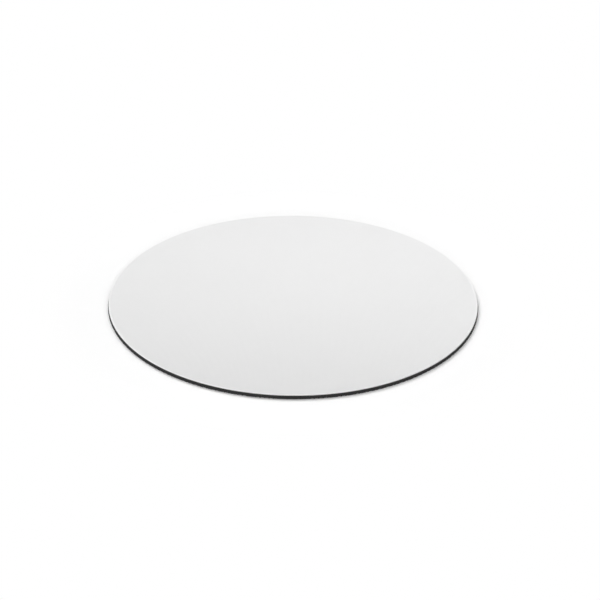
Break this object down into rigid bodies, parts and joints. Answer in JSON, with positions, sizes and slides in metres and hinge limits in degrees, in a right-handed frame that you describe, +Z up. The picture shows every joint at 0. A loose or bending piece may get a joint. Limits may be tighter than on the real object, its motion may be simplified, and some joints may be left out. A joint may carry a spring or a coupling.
{
  "type": "round mouse pad",
  "caption": "Thin round mouse pad: plain white cloth top laminated to a black foamed-rubber base with a non-slip underside.",
  "frame": {"origin": "middle of the underside, on the surface that the pad lies on", "axes": "+Z up, out of the cloth face; X and Y in the plane of the underside, with no preferred direction"},
  "size_m": [0.22, 0.22, 0.0026],
  "materials": {
    "rubber": "matte black foamed rubber, finely porous at the cut edge",
    "adhesive": "thin hot-melt film, waxy and slightly translucent",
    "cloth": "plain white fine-woven polyester, matte with a soft sheen"
  },
  "bodies": {
    "root": {"rubber_base": "rubber", "adhesive_film": "adhesive", "cloth_top": "cloth"}
  },
  "joints": []
}
